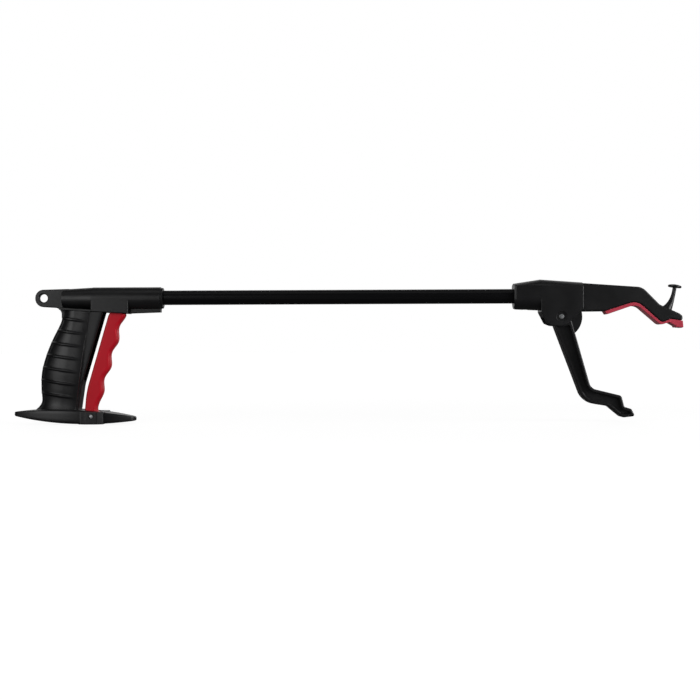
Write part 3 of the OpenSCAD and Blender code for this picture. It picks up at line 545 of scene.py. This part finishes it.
def grip_half_ring(t):
    """Half a section of the grip, from the middle of its front to its spine."""
    back, half, front = curve(BACK, t), curve(HALF, t), straight(FRONT, t)
    edge = max(half - 1.4, SIDE + 0.6)
    ring = [(front, 0), (front, -SIDE * 0.5), (front, -SIDE + 1.0), (front - 0.3, -SIDE + 0.3),
            (front - 1.0, -SIDE)]
    ring += [(front - 1 - (front - 2.0 - PALM) * k / 4, -SIDE) for k in range(1, 5)]
    ring += [(PALM + 0.6, -SIDE - 0.1), (PALM + 0.3, -(SIDE + edge) / 2)]
    r = min(0.7, 0.45 * (edge - SIDE))
    for k in range(4):
        bend = math.radians(30 * k)
        ring.append((PALM - r + r * math.cos(bend), -edge + r - r * math.sin(bend)))
    for k in range(1, 8):
        bend = math.radians(90 * k / 8)
        deep = scoop(t, 90) * ease(k / 8)
        ring.append((PALM - 0.7 - (PALM - 4.7) * k / 8, deep - edge - (half - edge) * math.sin(bend)))
    for k in range(ROUND + 1):
        angle = 90 * (1 - k / ROUND)
        deep = scoop(t, angle)
        turn = math.radians(angle)
        ring.append((4 - (4 - back - deep) * math.cos(turn), -(half - deep) * math.sin(turn)))
    return ring


def end_level(a):
    """Where the grip ends under the barrel, which slopes the other way."""
    return 99.3 + 0.0708 * a


HALF_COUNT = len(grip_half_ring(50)) - 1
rings = {}


def grip_place(u, v):
    """A point of the grip: u round it, v up it."""
    t = -5.4 + 107.4 * v
    key = round(t, 3)
    if key not in rings:
        rings[key] = grip_half_ring(t)
    k = round(u * 2 * HALF_COUNT) % (2 * HALF_COUNT)
    x, y = rings[key][k] if k <= HALF_COUNT else rings[key][2 * HALF_COUNT - k]
    return x, y if k <= HALF_COUNT else -y, min(t, end_level(x))


grip = leaned(bent_grid(2 * HALF_COUNT, 214, grip_place), GRIP_AT, GRIP_LEAN)
print("grip", len(grip.faces), "faces")

# %% [markdown]
# ## Foot
# The tool can stand on its handle, thanks to a wide foot: a lens from the side, an oval from above.
# Two grids, the upper and the lower face, are drawn in to the oval's ends. Towards the rim each
# falls off like a superellipse, so the rim is round and the faces stay flat.

# %% Foot
FOOT_AT, FOOT_LEAN = (30.75, -116.3), 2.6


def oval_half(x, length, width, tip):
    """Half the width of an oval of four arcs at a place along it."""
    m, h = length / 2 - tip, width / 2
    big = (m * m + h * h - tip * tip) / (2 * (h - tip))
    joint = m + tip * (m / (big - tip))
    x = abs(x)
    if x < joint:
        return math.sqrt(big * big - x * x) - big + h
    return math.sqrt(max(0.0, tip * tip - (x - m) ** 2))


def foot_place(side):
    """Where a point of the upper (1) or lower (-1) face of the foot goes."""
    def place(u, v):
        x = 60 * math.sin(math.pi * (u - 0.5))
        across = math.sin(math.pi / 2 * math.sin(math.pi * (v - 0.5)))
        z = oval_half(x, 120, 13.6, 2.2) * (1 - abs(across) ** 26) ** (1 / 4)
        return x, across * oval_half(x, 120, 40, 8), side * z
    return place


foot = bmesh.new()
for side in (1, -1):
    bmesh.ops.create_grid(foot, x_segments=120, y_segments=44, size=0.5)
    for vert in list(foot.verts)[-121 * 45:]:
        vert.co = foot_place(side)(vert.co.x + 0.5, vert.co.y + 0.5)
bmesh.ops.remove_doubles(foot, verts=foot.verts, dist=2e-3)
bmesh.ops.recalc_face_normals(foot, faces=foot.faces)
leaned(foot, FOOT_AT, FOOT_LEAN)
boss_z = FOOT_AT[1] - 7.3
boss = bmesh.new()
boss_corners = [(37.2, -18.5), (44.4, -21.6), (55.6, -21.6), (61.4, -18.5),
                (61.4, 18.5), (55.6, 21.6), (44.4, 21.6), (37.2, 18.5)]
boss.faces.new([boss.verts.new((x, y, boss_z)) for x, y in boss_corners])
grown = bmesh.ops.extrude_face_region(boss, geom=boss.faces[:])["geom"]
raised = [v for v in grown if isinstance(v, bmesh.types.BMVert)]
bmesh.ops.translate(boss, verts=raised, vec=(0, 0, 12.2))
bmesh.ops.recalc_face_normals(boss, faces=boss.faces)
bmesh.ops.bevel(boss, geom=boss.edges[:], offset=0.5, offset_type="OFFSET", segments=2, profile=0.5,
                affect="EDGES", material=-1, clamp_overlap=True)
print("foot", len(foot.faces), "faces")

# %% [markdown]
# ## Barrel, collar and hang tab
# Above the grip the handle turns into a barrel for the spring, a flat-sided box for the top of the
# trigger and a collar that holds the tube. Behind them is a flat tab with a hole to hang the tool up.

# %% Barrel, collar, box and tab
barrel = spun([(0, 0), (0, 8.8), (0.25, 9.4), (0.8, 9.64), (30.5, 11.3), (30.5, 0)],
              (19, 0, -0.9), (1, 0, 0))
collar = spun([(0, 0), (0, 10.8), (0.2, 11.2), (0.6, 11.4), (67.2, 11.4), (67.6, 11.2),
               (67.8, 10.8), (67.8, 0)], (48, 0, -0.9), (1, 0, 0), 96)
lip = spun([(0, 0), (0, 10.2), (2.7, 10.2), (3.05, 10.05), (3.2, 9.7), (3.2, 0)],
           (114.8, 0, -0.45), (1, 0, 0), 96)
keel = sloped(block((83.7, 115.5), (-5, 5), (-14.4, -9.8), 0.5), (83.7, 115.5), -11, -1.0)
box = sloped(block((48, 84.7), (-11.36, 11.36), (-15.7, -0.9), 0.9), (48, 84.7), -9, 2.0)
rail_corners = ((-11.8, -1.9), (19.1, -1.9), (19.1, 0.3), (-11.8, 0.3))
rail = plate([(a, end_level(a) + up, 0) for a, up in rail_corners], -12.5, 12.5, 0.45, 3)
rail = leaned(rail, GRIP_AT, GRIP_LEAN)
tab = plate([(-8.2, -8.2, 8.1), (17.8, -9.9, 6.5), (17.8, -19.5, 0), (25, -19.5, 0), (25, 9.1, 0),
             (-8.2, 8.2, 8.1)], -3, 3, 1.0)
hang_hole = spun([(-4, 0), (-4, 5.4), (-3, 5.0), (-2.3, 4.3), (-1.6, 4), (1.6, 4), (2.3, 4.3), (3, 5.0),
                  (4, 5.4), (4, 0)], (0, 0, 0), (0, 1, 0), 64)
handle = combine(grip, "UNION", [foot, boss, barrel, collar, lip, keel, box, rail, tab])
print("handle", len(handle.faces), "faces")

# %% [markdown]
# ## Hollows of the handle
# The handle is two shells. Inside are the room that the trigger swings in, a pocket for the spring,
# the way of the rod and the seat of the tube. They are cut from the whole form, which is then cut in
# two along its middle; a hair of a gap is left there, which reads as the parting line.

# %% Cut the handle and part it
TRIGGER_PIN = (50.0, -115.8)
SCREWS = [(29.94, -24.18), (18.5, -58.93), (17.45, -95.14), (73.72, -117.95), (-12.19, -114.05)]
room = leaned(block((18.5, 60), (-8.1, 8.1), (31, 97)), GRIP_AT, GRIP_LEAN)
hollows = [
    room,
    block((49.8, 82.3), (-8.4, 8.4), (-19.7, 4.4)),
    block((47.5, 85.5), (-6.6, 6.6), (-8, 5.8)),
    bar_x(47.5, 71.9, 1.9, 5.7, 5.7, 64),
    block((38.5, 58), (-8.1, 8.1), (-121.7, -103.8)),
    bar_x(22, 48, 0, 5.75, 5.75, 64),
    bar_x(84.7, 89, 0, 6.15, 6.15, 64),
    bar_x(88, 119, 0, 7.25, 7.25),
    bar(TRIGGER_PIN, 2.05, -40, 40),
    hang_hole,
]
hollows += [bar(p, 1.55, -8.5, 8, 24) for p in SCREWS]
handle = combine(handle, "DIFFERENCE", hollows)
left_half = combine(handle.copy(), "INTERSECT", [block((-100, 200), (0.04, 60), (-200, 60))])
left_half = combine(left_half, "DIFFERENCE", [bar(p, 3.0, 7, 40, 48) for p in SCREWS])
right_half = combine(handle, "INTERSECT", [block((-100, 200), (-60, -0.04), (-200, 60))])
finish("right_handle_moulding", right_half, "frame", black_abs,
       ["right_handle_shell"])
finish("left_handle_moulding", left_half, "frame", black_abs,
       ["left_handle_shell"])

# %% [markdown]
# ## Tube
# A drawn tube with cut ends: its wall is a closed profile, outside and inside, spun about the axis.

# %% Tube
wall = [(0, 6.15), (0, 7.0), (0.15, 7.15), (400.85, 7.15), (401, 7.0), (401, 6.15), (0, 6.15)]
finish("tube_drawn", spun(wall, (88, 0, 0), (1, 0, 0), 128), "frame", black_tube,
       ["tube"])

# %% [markdown]
# ## Trigger
# The red trigger hangs on a pin in the foot and has three shallow waves for the fingers. Its outline
# is a row of points on a cosine wave, thickened across and rounded along its edges. A tongue on top
# holds the pull rod, and a round pad takes the spring.

# %% Trigger
ROD_REAR = (76.0, -1.3)


def wave(s):
    """Front edge of the trigger, in front of the pin, at a height above it."""
    if s < 24:
        return 1.5 - 1.8 * ease((24 - s) / 13)
    return 1.7 * math.cos(2 * math.pi * (s - 50.4) / 26.5) - 0.2


edge = [(-9, -4, 4), (4, -4, 3.8), (-0.2, 8, 0)]
edge += [(wave(11 + 1.25 * k), 11 + 1.25 * k, 0) for k in range(75)]
edge += [(-0.5, 107, 0), (-12, 107, 0), (-13.9, 98, 0), (-13.9, 21, 80)]
lever = leaned(plate(edge, -7.5, 7.5, 2.6, 6), TRIGGER_PIN, 16.3)
tongue = plate([(65.5, -16.4, 0), (75.7, -19.4, 0), (80, -3.3, 0), (72, -0.3, 0)], -3, 3, 0.3, 2)
lever = combine(lever, "UNION", [
    bar(TRIGGER_PIN, 5, -7.45, 7.45),
    tongue,
    bar(ROD_REAR, 4, -3, 3),
    block((69.7, 74), (-3, 3), (-3.8, 2.6)),
    bar_x(68.7, 71.1, 0, 5.35, 5.35, 64),
    bar_x(65.7, 69.2, 0, 1.8, 1.9, 48)])
lever = combine(lever, "DIFFERENCE", [bar(ROD_REAR, 1.56, -10, 10), bar(TRIGGER_PIN, 3.03, -20, 20)])
finish("trigger_moulding", lever, "trigger_arm", red_pp, ["trigger"])

# %% [markdown]
# ## Head
# The head grips the tube in a round socket, widens into a box with two ears for the jaw pin, and
# runs on as the fixed upper jaw. The socket's section changes along it: round below, straight at the
# sides, arched on top. So it is another bent grid, and the rest are plates and bars.

# %% Head measures and socket
HEAD = 463.0
PIVOT = (508.8, -20.4)


def at_pivot(corners):
    """Corners given from the jaw pin."""
    return [(x + PIVOT[0], z + PIVOT[1], r) for x, z, r in corners]


def arch(half, high):
    """Radius of an arch with half its width and its height."""
    return (half * half + high * high) / (2 * high)


def socket_half_ring(x):
    """Half a section of the socket, from its bottom to its ridge."""
    s = x - HEAD
    wide = 10.6 + 0.35 * s if s < 2 else 11.3 + 1.1 * (s - 2) / 24.3
    top = 12.4 + 4.0 * s / 26.3
    radius = 24.6 + (14.48 - 24.6) * s / 26.3
    eaves = top - radius + math.sqrt(radius * radius - wide * wide)
    bends = [math.radians(90 * k / 24) for k in range(25)]
    ring = [(wide * math.sin(bend), -1.8 - wide * math.cos(bend)) for bend in bends]
    ring += [(wide, -1.8 + (eaves - 0.6 + 1.8) * k / 3) for k in range(1, 4)]
    ring += [(wide - 0.12, eaves - 0.2), (wide - 0.4, eaves + 0.15)]
    ring += [((wide - 0.8) * (1 - k / 14), 0) for k in range(15)]
    return [(y, z if i < 30 else top - radius + math.sqrt(radius * radius - y * y))
            for i, (y, z) in enumerate(ring)]


SOCKET_COUNT = len(socket_half_ring(470)) - 1


def socket_place(u, v):
    """A point of the socket: u round it, v along it."""
    x = HEAD + 26.5 * v
    k = round(u * 2 * SOCKET_COUNT) % (2 * SOCKET_COUNT)
    y, z = socket_half_ring(x)[k if k <= SOCKET_COUNT else 2 * SOCKET_COUNT - k]
    return x, y if k <= SOCKET_COUNT else -y, z


socket = bent_grid(2 * SOCKET_COUNT, 53, socket_place)
print("socket", len(socket.faces), "faces")

# %% Box, ears and upper jaw
ear_side = at_pivot([(-20, 40, 0), (-20, 4.5, 1), (-14.3, -6.6, 3), (-8.9, -8.9, 4), (0, -9.4, 6),
                     (9, -4.3, 6), (19.3, 5.1, 4), (21.7, 7.5, 1.5), (21.7, 40, 0)])


def roof_cone(x0, top0, r0, x1, top1, r1, before, behind):
    """A cone under the roof between two arches, its tops and radii given at its two ends."""
    tilt = math.atan2((top1 - r1) - (top0 - r0), x1 - x0)
    grow = math.tan(math.atan2(top1 - top0, x1 - x0) - tilt)
    start = r0 * math.cos(tilt) - grow * r0 * math.sin(tilt)
    way = Vector((math.cos(tilt), 0, math.sin(tilt)))
    side = [(-before, 0), (-before, start - grow * before), (behind, start + grow * behind), (behind, 0)]
    return spun(side, Vector((x0, 0, top0 - r0)), way, 160)


roof = roof_cone(489.1, 16.4, arch(12.4, 7.0), 530.5, 13.4, arch(12.4, 4.0), 12, 62)
roof = combine(roof, "UNION", [block((463, 570), (-20, 20), (-40, 0))])
ear_bar = spun([(0, 0), (0, 8.6), (0.25, 9.15), (0.8, 9.4), (24, 9.4), (24.55, 9.15),
                (24.8, 8.6), (24.8, 0)], (PIVOT[0], -12.4, PIVOT[1]), (0, 1, 0), 96)
ears = combine(plate(ear_side, -12.4, 12.4, 0.8, 3), "UNION", [ear_bar])
ears = rounded(combine(ears, "INTERSECT", [roof]), 0.6, lambda p: abs(p.y) > 12.39 and p.z > 5)
under = [(20.6, 5.02, 0), (43.2, 5.2, 3), (74.5, 15.2, 12), (98.8, -6.3, 4), (107.4, -2.8, 2),
         (119.5, -4.5, 1.9)]
over = [(119.4, 0.2, 1.9), (116.6, 2.6, 3), (97.2, 11.4, 4), (80.1, 28.7, 12), (20.6, 32.9, 0)]
arm = plate(at_pivot(under + over), -8.4, 8.4, 1.8, 5)
print("upper jaw", len(arm.faces), "faces")

# %% [markdown]
# ## Peg hook
# On the jaw's tip stands a bent peg with a round head, to hook a loop or a strap. The stem is a grid
# bent round a curved path that grows thinner, and the head is spun.

# %% Peg hook
PEG = [Vector((613.3, -14.9)), Vector((620.2, -6.9)), Vector((622.4, 8.6))]


def peg_place(u, v):
    """A point of the peg's stem: u round it, v along it."""
    here = PEG[0] * (1 - v) ** 2 + PEG[1] * 2 * v * (1 - v) + PEG[2] * v * v
    way = ((PEG[1] - PEG[0]) * (1 - v) + (PEG[2] - PEG[1]) * v).normalized()
    r = 1.9 + 5.5 * max(0.0, 0.85 - v) ** 2
    a = 2 * math.pi * u
    return here.x - way.y * r * math.cos(a), r * math.sin(a), here.y + way.x * r * math.cos(a)


stem = bent_grid(32, 24, peg_place)
tilt = math.radians(8)
cap = spun([(-0.6, 0), (-0.6, 5.8), (-0.35, 6.3), (0.1, 6.6), (0.9, 6.6), (1.35, 6.3), (1.65, 5.7),
            (2.2, 3.4), (2.5, 1.2), (2.5, 0)],
           (PEG[2].x, 0, PEG[2].y), (math.sin(tilt), 0, math.cos(tilt)), 64)
head = combine(socket, "UNION", [ears, arm, stem, cap])
print("head", len(head.faces), "faces")

# %% Cut the head
gap = at_pivot([(-17.3, 27, 0), (-17.3, -13, 0), (30, -13, 0), (30, 4.6, 0), (19.2, 4.6, 0),
                (19.2, 27, 0)])
sector_room = combine(bar(PIVOT, 22.1, -5.1, 5.1, 96), "INTERSECT",
                      [block((PIVOT[0], PIVOT[0] + 30), (-6, 6), (PIVOT[1] - 15, PIVOT[1] + 25))])
pin_seat = [(0, 0), (0, 4.8), (0.5, 4.8), (1.7, 6.0), (20, 6.0), (20, 0)]
head = combine(head, "DIFFERENCE", [
    plate(gap, -8.8, 8.8),
    bar(PIVOT, 11.6, -8.8, 8.8, 96),
    sector_room,
    bar_x(462, 489, 0, 7.25, 7.25),
    bar_x(488, 493, 0, 6.15, 6.15),
    spun([(0, 0), (0, 3), (8.6, 3), (8.6, 1.53), (20, 1.53), (20, 0)], (475, 0, -20), (0, 0, 1), 48),
    bar(PIVOT, 2.53, -40, 40)]
    + [spun(pin_seat, (PIVOT[0], side * 11.3, PIVOT[1]), (0, side, 0)) for side in (-1, 1)])
finish("jaw_head_moulding", head, "frame", black_abs, ["jaw_head"])

# %% [markdown]
# ## Jaw liner
# Red rubber lines the underside of the upper jaw and ends in a block with three teeth under the tip.

# %% Jaw liner
lining = [(45.2, 1.99, 0.8), (74.1, 11.81, 10), (97.7, -8.61, 4.5), (106.2, -5.8, 1.5),
          (112.6, -9.4, 0.6)]
for k in range(3):
    lining += [(113.4 + k * 2.588, -11.1 - 0.2 * k, 0), (113.4 + (k + 0.55) * 2.588, -10.4 - 0.2 * k, 0)]
lining += [(119.5, -4.53, 0), (107.4, -2.83, 2), (98.8, -6.33, 4), (74.5, 15.17, 12), (43.2, 5.17, 0)]
finish("jaw_liner_moulding", plate(at_pivot(lining), -8.4, 8.4, 0.45, 3), "frame", red_tpr,
       ["jaw_liner"])

# %% [markdown]
# ## Lower jaw
# The lower jaw is a bent arm with a raised rim on both sides, like a girder, which keeps it stiff and
# light. The rim comes from the same outline: it is inset, its middle is thickened, and that is cut away.

# %% Lower jaw
def inset(corners, by):
    """An anticlockwise outline drawn in by a distance, with the roundings' centres kept."""
    result = []
    for i, (x, z, r) in enumerate(corners):
        here = Vector((x, z))
        into = (here - Vector(corners[i - 1][:2])).normalized()
        out = (Vector(corners[(i + 1) % len(corners)][:2]) - here).normalized()
        sides = Vector((-into.y - out.y, into.x + out.x))
        spot = here + sides * by / (1 + into.dot(out))
        grow = -by if into.cross(out) > 0 else by
        result.append((spot.x, spot.y, max(r + grow, 0.3)))
    return result


lower = at_pivot([(-7.3, -6, 0), (22, -84.3, 18), (46.2, -88.2, 5), (59.7, -99.4, 5), (72.5, -98, 1.9),
                  (68.8, -90.9, 1.9), (61.8, -88.8, 2), (59.1, -77.9, 3.4), (29.2, -70.5, 8),
                  (8.4, 3, 0)])
web = flat_face(inset(lower, 2.8))
bmesh.ops.bisect_plane(web, geom=web.verts[:] + web.edges[:] + web.faces[:],
                       plane_co=(0, 0, PIVOT[1] - 8.5), plane_no=(0, 0, 1), clear_outer=True)
far_web = web.copy()
recesses = [thicken(web, -20, -4.4), thicken(far_web, 4.4, 20)]
arm = combine(plate(lower, -8.4, 8.4, 1.3, 5), "DIFFERENCE", recesses)
rounded(arm, 0.5, lambda p: abs(abs(p.y) - 8.4) < 1e-3 and p.z < PIVOT[1] - 9)
reach = [(40 * math.cos(math.radians(a)), 40 * math.sin(math.radians(a)), 0) for a in (-58, 0, 46)]
wedge = plate(at_pivot([(0, 0, 0)] + reach), -6, 6)
sector = combine(bar(PIVOT, 21.5, -4.5, 4.5, 128), "INTERSECT", [wedge])
CRANK_LEAN = -64
lug = plate([(0, -3.95, 0), (25.6, -3.95, 3.94), (25.6, 3.95, 3.94), (0, 3.95, 0)], -3, 3)
slot = plate([(17.75, -1.95, 1.94), (23.6, -1.95, 1.94), (23.6, 1.95, 1.94), (17.75, 1.95, 1.94)],
             -20, 20)
for part in (lug, slot):
    leaned(part, PIVOT, CRANK_LEAN)
arm = combine(arm, "UNION", [bar(PIVOT, 10, -8.25, 8.25, 96), sector, lug])
arm = combine(arm, "DIFFERENCE", [bar(PIVOT, 2.56, -40, 40), slot])
finish("lower_jaw_moulding", arm, "jaw", black_abs, ["lower_jaw"])

# %% [markdown]
# ## Return spring
# The spring in the barrel pushes the trigger forward and is squeezed shorter on the real tool. It is a
# grid bent round a helix whose turns lie closer at both ends, as on a spring with closed ends. This
# piece keeps one length.

# %% Return spring
COILS, COIL_R, WIRE_R = 11, 4.4, 0.55


def coil_at(v):
    """A point of the wire's middle line."""
    x = 22.85 + 45.2 * (v - 0.1 * math.sin(2 * math.pi * v) * 57.3 / 360)
    a = 2 * math.pi * COILS * v
    return Vector((x, COIL_R * math.cos(a), COIL_R * math.sin(a)))


def coil_place(u, v):
    """A point of the wire's surface."""
    a = 2 * math.pi * COILS * v
    out = Vector((0, math.cos(a), math.sin(a)))
    way = (coil_at(min(1, v + 0.001)) - coil_at(max(0, v - 0.001))).normalized()
    side = out.cross(way)
    turn = 2 * math.pi * u
    return coil_at(v) + WIRE_R * (out * math.cos(turn) + side * math.sin(turn))


coil = finish("return_spring_coil", bent_grid(12, COILS * 40, coil_place), "frame",
              spring_wire, ["return_spring"], sharp=60)
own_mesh(coil)

# %% [markdown]
# ## Pins and screws
# Pins are turned with a small chamfer at each end, and the screws have flat pan heads with a cross
# recess. They are spun, and the cross is cut with two small blocks.

# %% Pins and screws
def pin(name, at, r, y0, y1, body, node):
    """A steel pin across the tool, chamfered and slightly domed at its ends."""
    long = y1 - y0
    profile = [(-0.0, 0), (0.05, r * 0.5), (0.12, r - 0.4), (0.4, r - 0.05), (0.5, r), (long - 0.5, r),
               (long - 0.4, r - 0.05), (long - 0.12, r - 0.4), (long - 0.05, r * 0.5), (long, 0)]
    turned = spun(profile, (at[0], y0, at[1]), (0, 1, 0), 48)
    return finish(name, turned, body, ground_steel, [node])


pin("trigger_pin_ground", TRIGGER_PIN, 2, -20.6, 20.6, "frame", "trigger_pin")
pin("jaw_pin_ground", PIVOT, 2.5, -11.9, 12.2, "frame", "jaw_pin")
washer = [(0, 2.53), (0, 4.1), (0.1, 4.3), (0.45, 4.3), (0.55, 4.1), (0.55, 2.53), (0, 2.53)]
finish("jaw_pin_washer", spun(washer, (PIVOT[0], 11.35, PIVOT[1]), (0, 1, 0), 64), "frame",
       zinc_steel, ["jaw_pin_clip"])


def screw(at, way, length):
    """A pan-head screw with its head's seat at a place and its shank the other way."""
    body = spun([(-length, 0), (-length, 0.9), (-length + 1, 1.5), (0, 1.5), (0, 2.6), (0.2, 2.8),
                 (1.2, 2.8), (1.7, 2.4), (1.95, 1.6), (2.0, 0)], (0, 0, 0), (0, 0, 1), 40)
    body = combine(body, "DIFFERENCE", [block((-0.5, 0.5), (-1.7, 1.7), (1, 3)),
                                        block((-1.7, 1.7), (-0.5, 0.5), (1, 3))])
    turn = Vector((0, 0, 1)).rotation_difference(Vector(way)).to_matrix()
    bmesh.ops.rotate(body, verts=body.verts, cent=(0, 0, 0), matrix=turn)
    bmesh.ops.translate(body, verts=body.verts, vec=at)
    return body


screws = bmesh.new()
for x, z in SCREWS:
    one = screw((x, 7, z), (0, 1, 0), 15)
    spare = bpy.data.meshes.new("one_screw")
    one.to_mesh(spare)
    one.free()
    screws.from_mesh(spare)
    bpy.data.meshes.remove(spare)
finish("handle_screws_plated", screws, "frame", zinc_steel, ["handle_screws"])
finish("head_screw_plated", screw((475, 0, -11.4), (0, 0, -1), 6.1), "frame", zinc_steel,
       ["head_screw"])

# %% [markdown]
# ## Inner pieces
# The rod, its two forked ends, their pins, the guides and the bush are hidden in the tube and the
# handle. Their measured solids stay as they are and only get their materials.

# %% Inner pieces
inner_finish = {"pull_rod": zinc_steel, "rear_clevis": acetal, "front_clevis": acetal,
                "rod_guides": acetal, "rear_rod_pin": ground_steel, "front_rod_pin": ground_steel,
                "trigger_bush": bronze}
for node, material in inner_finish.items():
    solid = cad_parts[node]
    solid.data.materials.clear()
    solid.data.materials.append(material)
print("kept solids:", list(inner_finish))
